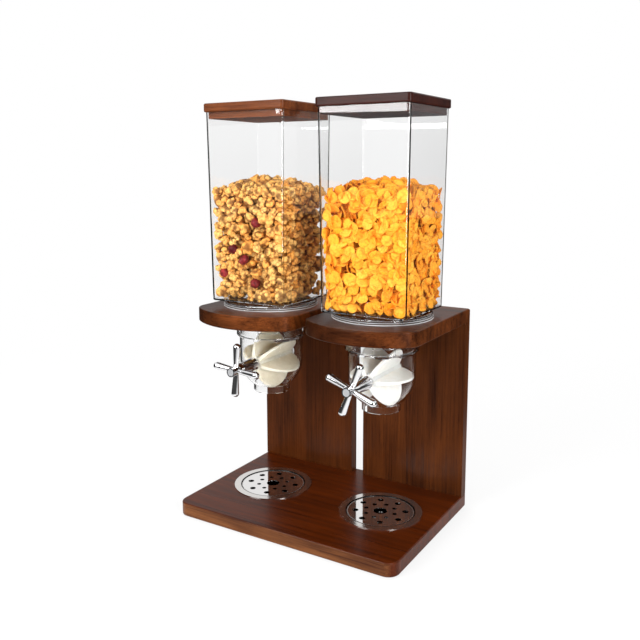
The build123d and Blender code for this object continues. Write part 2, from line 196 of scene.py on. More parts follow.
def effect_group(name: str, inputs: dict[str, str],
                 outputs: dict[str, str]) -> tuple[bpy.types.NodeTree, Graph, dict[str, Sockets]]:
    """A new shader node group with named sockets.

    Args:
        name: the group's name.
        inputs, outputs: socket names with "Color", "Float" or "Vector".

    Returns:
        The group, its graph, and the sockets of its two end nodes by "in" and "out".
    """
    tree = bpy.data.node_groups.new(name, "ShaderNodeTree")
    graph = Graph(tree)
    for way, sockets in (("INPUT", inputs), ("OUTPUT", outputs)):
        for label, kind in sockets.items():
            tree.interface.new_socket(name=label, in_out=way, socket_type="NodeSocket" + kind)
    ends = {"in": tree.nodes.new("NodeGroupInput").outputs, "out": tree.nodes.new("NodeGroupOutput").inputs}
    return tree, graph, ends


@dataclass(frozen=True)
class GrainLayer:
    """One noise of a timber's grain: its steps per metre, its kind, and its share in the tone."""

    along: float
    across: float
    detail: float = 2.0
    roughness: float = 0.5
    bend: float = 0.0
    share: float = 0.0

    def value(self, g: Graph, place: Socket) -> Socket:
        """The layer's noise at a place whose X runs along the grain."""
        stretched = g.scaled(place, self.along, self.across, self.across)
        return g.noise(stretched, 1.0, self.detail, self.roughness, self.bend)

    def added(self, g: Graph, value: Socket, tone: Source) -> Socket:
        """A tone with the layer's share of its noise about the middle."""
        return g.math("MULTIPLY_ADD", g.math("SUBTRACT", value, 0.5), self.share, tone)


def timber_group() -> bpy.types.NodeTree:
    """Stained timber laid in staves, with the grain along the vector's X.

    The tone is a weighted sum of long soft noise, fine streaks, clouds and a sine of the cross-grain place,
    bent by noise, plus one random tone for each stave. Pores are the dark tail of a noise stretched along
    the grain.

    Returns:
        The group, with Color, Roughness and Height.
    """
    soft = GrainLayer(2.6, 42.0, 3.0, 0.55, 0.6, share=0.9)
    streaks = GrainLayer(9.0, 420.0, 4.0, 0.62, 0.2, share=1.1)
    clouds = GrainLayer(9.0, 14.0, share=0.45)
    bending = GrainLayer(3.0, 14.0)
    pits = GrainLayer(60.0, 1500.0)
    stave_shift = 7.3
    ring_waves = 420.0
    ring_bend = 30.0
    ring_share = 0.1
    middle_tone = 0.45
    pore_depths = (0.30, 0.44)
    roughness_range = (0.26, 0.40)
    pore_colour = (0.010, 0.003, 0.001)
    tree, g, ends = effect_group(
        "timber", {"Vector": "Vector", "Dark": "Color", "Light": "Color", "Stave Width": "Float",
                   "Stave Contrast": "Float", "Pores": "Float"},
        {"Color": "Color", "Roughness": "Float", "Height": "Float"})
    place = g.node("SeparateXYZ", {}, in0=ends["in"]["Vector"]).outputs
    stave = g.math("FLOOR", g.math("DIVIDE", place[1], ends["in"]["Stave Width"]))
    chance = g.node("TexWhiteNoise", {"noise_dimensions": "1D"}, in1=stave).outputs["Value"]
    shift = g.math("MULTIPLY", chance, stave_shift)
    moved = g.node("CombineXYZ", {}, in0=g.math("ADD", place[0], shift), in1=place[1],
                   in2=g.math("ADD", place[2], shift)).outputs[0]
    streak = streaks.value(g, moved)
    bend = g.math("MULTIPLY", bending.value(g, moved), ring_bend)
    rings = g.math("SINE", g.math("ADD", g.math("MULTIPLY", place[1], ring_waves), bend))
    tone = soft.added(g, soft.value(g, moved), middle_tone)
    tone = streaks.added(g, streak, tone)
    tone = clouds.added(g, clouds.value(g, moved), tone)
    tone = g.math("MULTIPLY_ADD", rings, ring_share, tone)
    stave_tone = g.math("MULTIPLY", g.math("SUBTRACT", chance, 0.5), ends["in"]["Stave Contrast"])
    tone = g.math("ADD", tone, stave_tone)
    pores = g.math("MULTIPLY", g.spread(pits.value(g, moved), *pore_depths, 1.0, 0.0), ends["in"]["Pores"])
    stained = g.mix(g.spread(tone, 0.0, 1.0), ends["in"]["Dark"], ends["in"]["Light"])
    g.feed(ends["out"]["Color"], g.mix(pores, stained, pore_colour))
    g.feed(ends["out"]["Roughness"], g.spread(streak, 0.3, 0.7, *roughness_range))
    g.feed(ends["out"]["Height"], g.math("SUBTRACT", streak, pores))
    return tree


def marks_group() -> bpy.types.NodeTree:
    """Faint handling marks: a roughness that rises from Low to High in soft cloudy patches and thin streaks.

    Returns:
        The group, with Roughness and Mask.
    """
    streak_share = 0.35
    marked = (0.55, 0.95)
    tree, g, ends = effect_group(
        "handling_marks", {"Vector": "Vector", "Size": "Float", "Low": "Float", "High": "Float"},
        {"Roughness": "Float", "Mask": "Float"})
    sized = g.sized(ends["in"]["Vector"], ends["in"]["Size"])
    cloud = g.noise(sized, 1.0, 4.0, 0.6, 0.4)
    fine = g.noise(g.scaled(sized, 9.0, 9.0, 2.0), 1.0)
    mask = g.spread(g.math("MULTIPLY_ADD", fine, streak_share, cloud), *marked)
    g.feed(ends["out"]["Mask"], mask)
    extra = g.math("SUBTRACT", ends["in"]["High"], ends["in"]["Low"])
    g.feed(ends["out"]["Roughness"], g.math("MULTIPLY_ADD", mask, extra, ends["in"]["Low"]))
    return tree


def crumb_group() -> bpy.types.NodeTree:
    """Baked crumb: two sizes of cells and a fine noise as one height, and a mask that is high in the pits,
    which the cereal darkens as painted shade.

    Returns:
        The group, with Height and Pits.
    """
    fleck_share = -0.4
    fine_share = 0.35
    pit_heights = (0.55, 0.2)
    tree, g, ends = effect_group("crumb", {"Vector": "Vector", "Size": "Float"},
                                 {"Height": "Float", "Pits": "Float"})
    sized = g.sized(ends["in"]["Vector"], ends["in"]["Size"])
    coarse = g.node("TexVoronoi", {"feature": "SMOOTH_F1"}, Vector=sized, Scale=1.0, Smoothness=0.6)
    flecks = g.node("TexVoronoi", {"feature": "F1"}, Vector=sized, Scale=2.7)
    height = g.math("SUBTRACT", 1.0, coarse.outputs[0])
    height = g.math("MULTIPLY_ADD", flecks.outputs[0], fleck_share, height)
    height = g.math("MULTIPLY_ADD", g.noise(sized, 4.0, 3.0, 0.6), fine_share, height)
    g.feed(ends["out"]["Height"], height)
    g.feed(ends["out"]["Pits"], g.spread(height, *pit_heights))
    return tree


class Effects:
    """The shared node groups, each built once."""

    def __init__(self) -> None:
        """Build every group."""
        self.timber = timber_group()
        self.marks = marks_group()
        self.crumb = crumb_group()


EFFECTS = Effects()


@dataclass(frozen=True)
class Finish:
    """What every finish has: a name, and a shader that each kind makes its own way."""

    name: str

    def shader(self, g: Graph) -> Socket:
        """The finish's shader, in the graph of its material."""
        raise NotImplementedError

    def material(self) -> bpy.types.Material:
        """Build the material.

        Returns:
            The node material with the finish's shader on its output.
        """
        made = bpy.data.materials.new(self.name)
        made.use_nodes = True
        g = Graph(made.node_tree)
        g.node("OutputMaterial", {}, Surface=self.shader(g))
        return made


def handling(g: Graph, size: float, low: float, high: float) -> tuple[Socket, Sockets]:
    """Handling marks on a piece.

    Args:
        g: the material's graph.
        size: width of a patch.
        low, high: least and greatest roughness.

    Returns:
        The piece's object coordinates, and the marks' outputs.
    """
    where = g.node("TexCoord").outputs["Object"]
    marks = g.node("Group", {"node_tree": EFFECTS.marks}, Vector=where, Size=size, Low=low, High=high)
    return where, marks.outputs


@dataclass(frozen=True)
class TimberFinish(Finish):
    """Stained and lacquered timber.

    Its faces to the front and back can take a lighter colour, a painted light for how the front face is lit,
    and it can run darker towards one end in X, a painted shade.
    """

    dark: Colour
    light: Colour
    along: Along
    stave_width: float
    stave_contrast: float
    turn: float = 0.0
    pores: float = 0.6
    specular: float = 0.05
    coat: float = 0.0
    coat_roughness: float = 0.16
    painted_front_light: Colour | None = None
    shaded_end: float | None = None
    shade_reach: float = 100 * MM
    stave_offset: Pair = (11 * MM, 3 * MM)
    relief: float = 0.12 * MM
    front_facing: Pair = (0.75, 0.95)

    def shader(self, g: Graph) -> Socket:
        """Timber with its grain along the named axis.

        Args:
            g: the material's graph.

        Returns:
            The shader.
        """
        texture = g.node("TexCoord").outputs
        turned = g.node("Mapping", {"vector_type": "POINT"}, Vector=texture["Object"],
                        Rotation=self.along.value, Location=(self.turn, *self.stave_offset)).outputs[0]
        light = self.light
        # the faces to the front and back are painted lighter: painted light for the lit front face
        if self.painted_front_light is not None:
            front = g.spread(g.math("ABSOLUTE", g.part(texture["Normal"], 1)), *self.front_facing)
            light = g.mix(front, light, self.painted_front_light)
        # towards one end in X the colour runs to the dark stain: painted shade for the less lit end
        if self.shaded_end is not None:
            across = g.part(texture["Object"], 0)
            away = g.spread(across, self.shaded_end, self.shaded_end + self.shade_reach)
            light = g.mix(away, self.dark, light)
        timber = g.node("Group", {"node_tree": EFFECTS.timber}, Vector=turned, Dark=self.dark, Light=light,
                        Stave_Width=self.stave_width, Stave_Contrast=self.stave_contrast,
                        Pores=self.pores).outputs
        bump = g.bump(timber["Height"], self.relief, 0.25)
        shader = g.node("BsdfPrincipled", {}, Base_Color=timber["Color"], Roughness=timber["Roughness"],
                        Normal=bump, Coat_Weight=self.coat, Coat_Roughness=self.coat_roughness, IOR=1.5,
                        Specular_IOR_Level=self.specular)
        return shader.outputs[0]


@dataclass(frozen=True)
class PaintedRimBands:
    """The edge of a thick clear ring, with bright bands painted on it that stand in for the light caught
    inside.
    """

    centre: Pair
    radius: float
    foot: float
    spacing: float = 2.6 * MM
    height: float = 8.0 * MM
    strength: float = 0.85
    phase: float = -1.1
    softness: float = 0.4
    edge: Pair = (2.0 * MM, 1.2 * MM)
    patch_scale: float = 16.0
    patch_least: float = 0.45
    white: Colour = (0.92, 0.93, 0.94)

    def over(self, g: Graph, where: Socket, glass: Socket) -> Socket:
        """Lay the painted bright bands over a glass.

        The share of painted white, a painted highlight, is a sine of the height above the ring's foot, weaker
        with height and in soft patches, and only on the outer face.

        Args:
            g: the material's graph.
            where: the object's coordinates.
            glass: the shader below the bands.

        Returns:
            The shader of both.
        """
        off = g.off_axis(where, self.centre, self.foot)
        outer = g.spread(g.radius(off), self.radius - self.edge[0], self.radius - self.edge[1])
        height = g.part(off, 2)
        wave = g.math("SINE", g.math("MULTIPLY_ADD", height, 2 * math.pi / self.spacing, self.phase))
        fading = g.spread(height, 0.0, self.height, self.strength, 0.0)
        bands = g.math("MULTIPLY", g.spread(wave, -self.softness, self.softness), fading)
        patches = g.spread(g.noise(where, self.patch_scale), 0.35, 0.6, self.patch_least, 1.0)
        share = g.math("MULTIPLY", g.math("MULTIPLY", bands, patches), outer)
        white = g.node("BsdfDiffuse", {}, Color=self.white).outputs[0]
        return g.node("MixShader", {}, in0=share, in1=glass, in2=white).outputs[0]


@dataclass(frozen=True)
class ClearFinish(Finish):
    """Clear moulded plastic, which lets the lamps through to what is behind it."""

    tint: Colour = (0.999, 1.0, 1.0)
    ior: float = 1.45
    rough_low: float = 0.0
    rough_high: float = 0.03
    # painted bright bands on the rim, where the piece has them
    rim: PaintedRimBands | None = None
    marks_size: float = 40 * MM

    def shader(self, g: Graph) -> Socket:
        """Glass, with its painted bright bands on the rim where it has one, that is open to shadow and
        diffuse rays.

        Args:
            g: the material's graph.

        Returns:
            The shader.
        """
        where, marks = handling(g, self.marks_size, self.rough_low, self.rough_high)
        glass = g.node("BsdfPrincipled", {}, Base_Color=self.tint, Roughness=marks["Roughness"], IOR=self.ior,
                       Transmission_Weight=1.0).outputs[0]
        if self.rim is not None:
            glass = self.rim.over(g, where, glass)
        path = g.node("LightPath").outputs
        passing = g.math("MAXIMUM", path["Is Shadow Ray"], path["Is Diffuse Ray"])
        clear = g.node("BsdfTransparent", {}, Color=self.tint).outputs[0]
        return g.node("MixShader", {}, in0=passing, in1=glass, in2=clear).outputs[0]


@dataclass(frozen=True)
class MetalFinish(Finish):
    """Polished, satin or turned metal."""

    colour: Colour
    rough_low: float
    rough_high: float
    turned_centre: Pair | None = None
    # radius within which painted shade darkens the colour
    shaded_within: float | None = None
    satin_beyond: float | None = None
    dull: float = 0.7
    turned_lines: float = 2600.0
    turned_depth: float = 0.002 * MM
    satin: float = 0.4
    stained: float = 0.04
    satin_blend: float = 0.3 * MM
    shade_blend: float = 0.2 * MM
    marks_size: float = 20 * MM

    def shader(self, g: Graph) -> Socket:
        """Metal, with fine circular lines where it was turned about a centre.

        It is dull to rays from dull surfaces, so that it throws no hard patches of light on the wood. Within
        the mouth of the cup its colour is darkened, a painted shade for the unlit inside of the cup, and past
        the radius satin_beyond its rounded rim is satin.

        Args:
            g: the material's graph.

        Returns:
            The shader.
        """
        where, marks = handling(g, self.marks_size, self.rough_low, self.rough_high)
        bounced = g.math("MULTIPLY", g.node("LightPath").outputs["Is Diffuse Ray"], self.dull)
        roughness = g.math("MAXIMUM", marks["Roughness"], bounced)
        shader = g.node("BsdfPrincipled", {}, Base_Color=self.colour, Metallic=1.0, Roughness=roughness)
        if self.turned_centre is not None:
            radius = g.radius(g.off_axis(where, self.turned_centre))
            lines = g.node("TexNoise", {"noise_dimensions": "1D"}, W=radius, Scale=self.turned_lines,
                           Detail=3.0).outputs["Fac"]
            g.feed(shader.inputs["Normal"], g.bump(lines, self.turned_depth, 0.6))
            if self.satin_beyond is not None:
                past = self.satin_beyond + self.satin_blend
                rim = g.spread(radius, self.satin_beyond, past, 0.0, self.satin)
                g.feed(shader.inputs["Roughness"], g.math("MAXIMUM", roughness, rim))
            # inside the cup's mouth the colour falls nearly to black: painted shade for the unlit inside
            if self.shaded_within is not None:
                unshaded = g.spread(radius, self.shaded_within, self.shaded_within + self.shade_blend, self.stained)
                g.feed(shader.inputs["Base Color"], g.mix(unshaded, (0.0, 0.0, 0.0), self.colour))
        return shader.outputs[0]


@dataclass(frozen=True)
class SoftFinish(Finish):
    """Soft or matt moulded plastic, silicone and foam."""

    colour: Colour
    shade: Colour
    rough_low: float
    rough_high: float
    subsurface: float = 0.0
    grain_size: float = 0.8 * MM
    grain_depth: float = 0.02 * MM
    channel_depths: tuple[float, float, float] = (10 * MM, 9 * MM, 8 * MM)
    marks_size: float = 12 * MM

    def shader(self, g: Graph) -> Socket:
        """Grained plastic, a little shaded where it was handled.

        Args:
            g: the material's graph.

        Returns:
            The shader.
        """
        where, marks = handling(g, self.marks_size, self.rough_low, self.rough_high)
        grain = g.noise(where, 1 / self.grain_size)
        bump = g.bump(grain, self.grain_depth, 0.5)
        shader = g.node("BsdfPrincipled", {}, Base_Color=g.mix(marks["Mask"], self.colour, self.shade),
                        Roughness=marks["Roughness"], Normal=bump, Subsurface_Weight=self.subsurface,
                        Subsurface_Radius=self.channel_depths, Subsurface_Scale=1.0)
        return shader.outputs[0]


@dataclass(frozen=True)
class CerealFinish(Finish):
    """Baked cereal: a tone for each piece from its attribute, with crumb, painted shade in its pits and
    hollows, and darker rims that are partly toasting and partly painted shade.
    """

    pale: Colour
    deep: Colour
    pit: Colour
    crumb_size: float
    crumb_depth: float
    roughness: float = 0.6
    toast_and_shade_strength: float = 0.6
    pitting: float = 0.5
    specular: float = 0.15
    darkened_from: Pair = (0.5, 0.95)

    def shader(self, g: Graph) -> Socket:
        """Cereal toned by the attribute tone, one for each piece, and darkened by a second attribute along
        the piece, from 0 to 1, that paints shade in hollows and creases and, on flake rims, toasting with
        painted shade.

        Args:
            g: the material's graph.

        Returns:
            The shader.
        """
        where = g.node("TexCoord").outputs["Object"]
        tone = g.node("Attribute", {"attribute_name": "tone"}).outputs["Fac"]
        toast = g.node("Attribute", {"attribute_name": "toast"}).outputs["Fac"]
        crumb = g.node("Group", {"node_tree": EFFECTS.crumb}, Vector=where, Size=self.crumb_size).outputs
        # darkens towards the pit colour: painted shade in hollows and creases, and on flake rims toasting and
        # painted shade together
        toasted = g.math("MULTIPLY", g.spread(toast, *self.darkened_from), self.toast_and_shade_strength)
        baked = g.mix(toasted, g.mix(tone, self.pale, self.deep), self.pit)
        # the pits are darkened towards the pit colour: painted shade
        pitted = g.math("MULTIPLY", crumb["Pits"], self.pitting)
        bump = g.bump(crumb["Height"], self.crumb_depth, 0.8)
        shader = g.node("BsdfPrincipled", {}, Base_Color=g.mix(pitted, baked, self.pit), Normal=bump,
                        Roughness=self.roughness, Specular_IOR_Level=self.specular)
        return shader.outputs[0]


def round_of(node: str) -> tuple[Pair, float]:
    """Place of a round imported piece's upright axis, and its radius, from its box."""
    low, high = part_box(node)
    return ((low.x + high.x) / 2, (low.y + high.y) / 2), (high.x - low.x) / 2


def dress(node: str, material: bpy.types.Material) -> None:
    """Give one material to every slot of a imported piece.

    Args:
        node: the piece's name in the frame.
        material: its finish.
    """
    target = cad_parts[node]
    target.data.materials.clear()
    target.data.materials.append(material)
    LOG.info("dressed %s in %s", node, material.name)


@dataclass(frozen=True)
class SideStain:
    """Stains of one side's board and shelf."""

    board_dark: Colour
    board_light: Colour
    shelf_light: Colour


@dataclass
class Stand:
    """Base, boards, shelves, pads, screws and dowels."""

    left: SideStain = SideStain(linear(32, 11, 2), linear(80, 38, 12), linear(130, 68, 28))
    right: SideStain = SideStain(linear(41, 16, 5), linear(96, 49, 18), linear(108, 55, 22))
    shelf_dark: Colour = linear(36, 13, 3)

    def dress(self) -> None:
        """Finish every piece of the stand."""
        # the base's front and back faces get painted light
        base = TimberFinish("base_timber", linear(46, 13, 1), linear(96, 38, 4), Along.X, 70 * MM, 0.18,
                            pores=0.5, specular=0.08, coat=0.12, painted_front_light=linear(136, 84, 46))
        dress("base_board", base.material())
        foam = SoftFinish("pad_foam", linear(30, 30, 30), linear(22, 22, 22), 0.7, 0.9)
        dress("foot_pads", foam.material())
        dress("base_screws", MetalFinish("screw_steel", linear(190, 188, 180), 0.3, 0.45).material())
        self.dress_side(Side.LEFT, self.left)
        self.dress_side(Side.RIGHT, self.right)

    def dress_side(self, side: Side, stain: SideStain) -> None:
        """Finish one side's board, shelf and dowels.

        Args:
            side: which side.
            stain: its stains.
        """
        board = TimberFinish(f"board_timber_{side.word}", stain.board_dark, stain.board_light, Along.Z,
                             36 * MM, -0.5 * side.value, 0.37 * side.value)
        # each shelf runs darker towards its left end: painted shade
        shelf = TimberFinish(f"shelf_timber_{side.word}", self.shelf_dark, stain.shelf_light, Along.X,
                             60 * MM, 0.25, 0.21 * side.value, specular=0.06, coat=0.06,
                             shaded_end=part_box(f"shelf_{side.word}")[0].x)
        beech = TimberFinish(f"dowel_beech_{side.word}", linear(190, 150, 100), linear(224, 190, 140),
                             Along.Z, 200 * MM, 0.0, specular=0.3)
        dress(f"back_board_{side.word}", board.material())
        dress(f"shelf_{side.word}", shelf.material())
        dress(f"mitre_dowels_{side.word}", beech.material())


@dataclass
class Dispenser:
    """One hopper, its lid, collar, bowl, wheel, knob and tray."""

    side: Side
    lid_dark: Colour
    lid_light: Colour
    wheel_colour: Colour
    wheel_shade: Colour
    collar_height: float = 9 * MM
    cup_edge: float = 2 * MM
    grate_round: float = 1.5 * MM

    def name(self, part: str) -> str:
        """The name of this side's piece."""
        return f"{part}_{self.side.word}"

    def dress(self) -> None:
        """Finish every piece of the dispenser."""
        self.dress_clear()
        self.dress_knob()
        self.dress_tray()
        lid = TimberFinish(self.name("lid_timber"), self.lid_dark, self.lid_light, Along.X, 45 * MM, 0.2,
                           0.11 * self.side.value, specular=0.08, coat=0.08).material()
        silicone = SoftFinish(self.name("milky_silicone"), self.wheel_colour, self.wheel_shade, 0.32, 0.45,
                              subsurface=0.8)
        nylon = SoftFinish(self.name("nylon"), linear(232, 230, 222), linear(214, 211, 200), 0.35, 0.5,
                           subsurface=0.1)
        self.dress_all(lid, "lid_plate", "lid_plug")
        self.dress_all(silicone.material(), "paddle_wheel")
        self.dress_all(nylon.material(), "wheel_core", "front_bush", "rear_bush")

    def dress_all(self, material: bpy.types.Material, *parts: str) -> None:
        """Give one finish to some of this side's pieces."""
        for part in parts:
            dress(self.name(part), material)

    def dress_clear(self) -> None:
        """Finish the hopper, collar, bowl and sealing ring. The bowl bends light less, to show its wheel."""
        centre, radius = round_of(self.name("collar"))
        # the collar's rim gets painted bright bands for the light caught inside it
        rim = PaintedRimBands(centre, radius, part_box(self.name("collar"))[1].z - self.collar_height)
        collar = ClearFinish(self.name("collar_plastic"), rough_high=0.02, rim=rim)
        ring = ClearFinish(self.name("clear_silicone"), (0.93, 0.93, 0.92), 1.41, 0.15, 0.3)
        self.dress_all(ClearFinish(self.name("clear_plastic")).material(), "hopper")
        self.dress_all(collar.material(), "collar")
        self.dress_all(ClearFinish(self.name("bowl_plastic"), ior=1.28).material(), "bowl")
        self.dress_all(ring.material(), "hopper_gasket")

    def dress_knob(self) -> None:
        """Finish the knob, its cap and screw, the sleeve and the axle."""
        chrome = MetalFinish(self.name("chrome"), (0.80, 0.80, 0.81), 0.015, 0.06)
        sleeve = MetalFinish(self.name("satin_chrome"), (0.72, 0.72, 0.73), 0.14, 0.22)
        steel = MetalFinish(self.name("plain_steel"), (0.62, 0.62, 0.63), 0.18, 0.3)
        cap = SoftFinish(self.name("grey_cap"), linear(150, 151, 153), linear(128, 129, 131), 0.25, 0.4)
        self.dress_all(chrome.material(), "knob")
        self.dress_all(sleeve.material(), "axle_sleeve")
        self.dress_all(cap.material(), "knob_cap")
        self.dress_all(steel.material(), "axle", "knob_screw")

    def dress_tray(self) -> None:
        """Finish the drip tray's cup and grate."""
        centre, edge = round_of(self.name("tray_grate"))
        # the cup is darkened within its mouth: painted shade
        cup = MetalFinish(self.name("brushed_cup"), (0.66, 0.64, 0.62), 0.10, 0.16, centre,
                          shaded_within=edge + self.cup_edge)
        grate = MetalFinish(self.name("polished_grate"), (0.76, 0.75, 0.74), 0.03, 0.08, centre,
                            satin_beyond=edge - self.grate_round)
        self.dress_all(cup.material(), "tray_cup")
        self.dress_all(grate.material(), "tray_grate")


@dataclass(frozen=True)
class HopperSpace:
    """The space inside a hopper that its cereal fills, in metres: a tapered block under a crowned top.

    Only the outer layer that can be seen is filled, as deep as the shell.
    """

    centre_x: float
    shell: float
    centre_y: float = 0.0045
    floor: float = 0.3250
    half_width: float = 0.0620
    half_depth: float = 0.0600
    width_taper: float = 0.0125
    depth_taper: float = 0.0072
    wall_top: float = 0.4905
    crown: float = 0.020
    touching: float = 0.005
    give: float = 0.6

    def halves(self, height: np.ndarray) -> tuple[np.ndarray, np.ndarray]:
        """Half width and half depth of the space at some heights; both grow evenly from the floor up."""
        rise = height - self.floor
        return self.half_width + rise * self.width_taper, self.half_depth + rise * self.depth_taper

    def top(self, x: np.ndarray, y: np.ndarray) -> np.ndarray:
        """Height of the crowned top: the wall level plus a hump that falls to nothing at all four walls.

        Args:
            x, y: places across and along.

        Returns:
            The heights there.
        """
        across = np.clip((x - self.centre_x) / self.half_width, -1.0, 1.0)
        along = np.clip((y - self.centre_y) / self.half_depth, -1.0, 1.0)
        return self.wall_top + self.crown * (1.0 - across**2) * (1.0 - along**2)

    def hold(self, places: np.ndarray, reach: np.ndarray) -> np.ndarray:
        """Move places out of the unseen core, then to where their spheres stay inside the space.

        Args:
            places: centres, one row each.
            reach: radius of each sphere.

        Returns:
            The moved centres.
        """
        half_x, half_y = self.halves(places[:, 2])
        off = places - np.array([self.centre_x, self.centre_y, 0.0])
        top = self.top(places[:, 0], places[:, 1])
        depth = np.stack([half_x - np.abs(off[:, 0]), half_y - np.abs(off[:, 1]), top - places[:, 2]], 1)
        nearest = depth.argmin(1)
        inward = np.clip(depth.min(1) - self.shell, 0.0, None)
        outward = np.stack([np.sign(off[:, 0]), np.sign(off[:, 1]), np.ones(len(places))], 1)
        held = places + outward * inward[:, None] * (nearest[:, None] == np.arange(3))
        held[:, 0] = np.clip(held[:, 0], self.centre_x - half_x + reach, self.centre_x + half_x - reach)
        held[:, 1] = np.clip(held[:, 1], self.centre_y - half_y + reach, self.centre_y + half_y - reach)
        held[:, 2] = np.clip(held[:, 2], self.floor + reach, top - reach)
        return held

    def pack(self, reach: np.ndarray, rng: np.random.Generator, fixed: np.ndarray, rounds: int) -> np.ndarray:
        """Spread spheres through the shell until they hardly overlap.

        Each round moves every pair that is too close apart along its line by a share of half of the overlap,
        then holds all of them inside the walls. The first ones stay where they are fixed.

        Args:
            reach: radius of each sphere.
            rng: source of the starting places.
            fixed: places of the first spheres.
            rounds: how many times the spheres are moved.

        Returns:
            The centres, one row each.
        """
        low = np.array([self.centre_x - self.half_width, self.centre_y - self.half_depth, self.floor])
        high = np.array([self.centre_x + self.half_width, self.centre_y + self.half_depth,
                         self.wall_top + self.crown])
        places = self.hold(low + rng.random((len(reach), 3)) * (high - low), reach)
        places[:len(fixed)] = fixed
        wanted = (reach[:, None] + reach[None, :]).astype(np.float32)
        np.fill_diagonal(wanted, 0.0)
        for _ in range(rounds):
            apart = (places[:, None, :] - places[None, :, :]).astype(np.float32)
            distance = np.sqrt((apart**2).sum(2)) + 1e-7
            push = np.clip(wanted - distance, 0.0, None) / distance * 0.5
            places = self.hold(places + (apart * push[..., None]).sum(1) * self.give, reach)
            places[:len(fixed)] = fixed
        return places

    def settle(self, points: np.ndarray) -> np.ndarray:
        """Shift whole pieces until those at a wall or the floor touch it.

        A piece that passes a wall moves back inside, and one that stops a little short of it moves up to it.

        Args:
            points: the pieces' points, as pieces by points by axes.

        Returns:
            The same points, shifted.
        """
        half_x, half_y = self.halves(points[..., 2].mean(1))
        for axis, centre, half in ((0, self.centre_x, half_x), (1, self.centre_y, half_y)):
            over = points[..., axis].max(1) - (centre + half)
            under = (centre - half) - points[..., axis].min(1)
            points[..., axis] -= (over * (over > -self.touching))[:, None]
            points[..., axis] += (under * (under > -self.touching))[:, None]
        below = self.floor - points[..., 2].min(1)
        points[..., 2] += (below * (below > -self.touching))[:, None]
        return points


def unit(vectors: np.ndarray) -> np.ndarray:
    """Vectors brought to length 1 along the last axis."""
    return vectors / np.linalg.norm(vectors, axis=-1, keepdims=True)


def frames_along(normals: np.ndarray, rng: np.random.Generator) -> np.ndarray:
    """Turn matrices whose third axis is a given normal and whose first axis points any way across it."""
    across = unit(np.cross(normals, unit(rng.normal(size=normals.shape))))
    return np.stack([across, np.cross(normals, across), normals], axis=-1)


@dataclass
class PieceCloud:
    """Many alike small pieces as one mesh: the same faces, with points worked out for all pieces at once."""

    name: str
    points: np.ndarray
    faces: Faces
    attributes: dict[str, np.ndarray]

    def build(self, body: str, slot: str, material: bpy.types.Material) -> None:
        """Make the object, give it its finish and let it ride on a body.

        Args:
            body: what it rides on.
            slot: not used.
            material: its finish.
        """
        pieces, corners = self.points.shape[:2]
        sizes = np.array([len(face) for face in self.faces])
        flat = np.concatenate([np.array(face) for face in self.faces])
        loops = (flat[None, :] + np.arange(pieces)[:, None] * corners).ravel()
        counts = np.tile(sizes, pieces)
        starts = np.concatenate([[0], np.cumsum(counts)[:-1]])
        mesh = bpy.data.meshes.new(self.name)
        mesh.vertices.add(pieces * corners)
        mesh.vertices.foreach_set("co", self.points.astype(np.float32).ravel())
        mesh.loops.add(len(loops))
        mesh.loops.foreach_set("vertex_index", loops.astype(np.int32))
        mesh.polygons.add(len(counts))
        mesh.polygons.foreach_set("loop_start", starts.astype(np.int32))
        mesh.polygons.foreach_set("use_smooth", np.ones(len(counts), dtype=bool))
        mesh.update(calc_edges=True)
        for label, values in self.attributes.items():
            layer = mesh.attributes.new(label, "FLOAT", "POINT")
            spread = np.broadcast_to(values, (pieces, corners))
            layer.data.foreach_set("value", spread.astype(np.float32).ravel())
        mesh.validate()
        made = bpy.data.objects.new(self.name, mesh)
        bpy.context.scene.collection.objects.link(made)
        made.data.materials.append(material)
        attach(made, body)
        LOG.info("built %s: %d pieces, %d faces", self.name, pieces, len(mesh.polygons))


def ball_net(steps: int) -> tuple[np.ndarray, Faces]:
    """Directions and faces of a cube's even grid drawn out to a ball, with shared edges and outward faces.

    Each face's grid is the set of points (1, tan u, tan v) for u and v evenly spread from -45 to 45 degrees,
    turned to the six sides of the cube, with equal points merged.

    Args:
        steps: squares along each edge of the cube.

    Returns:
        Unit directions, and faces as tuples of their indices.
    """
    spread = np.tan(np.linspace(-np.pi / 4, np.pi / 4, steps + 1))
    u, v = np.meshgrid(spread, spread, indexing="ij")
    square = np.arange((steps + 1) ** 2).reshape(steps + 1, steps + 1)
    corners = [square[:-1, :-1], square[1:, :-1], square[1:, 1:], square[:-1, 1:]]
    quads = np.stack(corners, -1).reshape(-1, 4)
    sides = []
    nets = []
    for axis in range(3):
        for sign in (1.0, -1.0):
            grid = np.stack([np.full_like(u, sign), u * sign, v], -1).reshape(-1, 3)
            sides.append(np.roll(grid, axis, axis=1))
            nets.append(quads + len(nets) * square.size)
    points = unit(np.concatenate(sides))
    _, first, merged = np.unique(np.round(points, 5), axis=0, return_index=True, return_inverse=True)
    return points[first], [tuple(face) for face in merged.reshape(-1)[np.concatenate(nets)].tolist()]


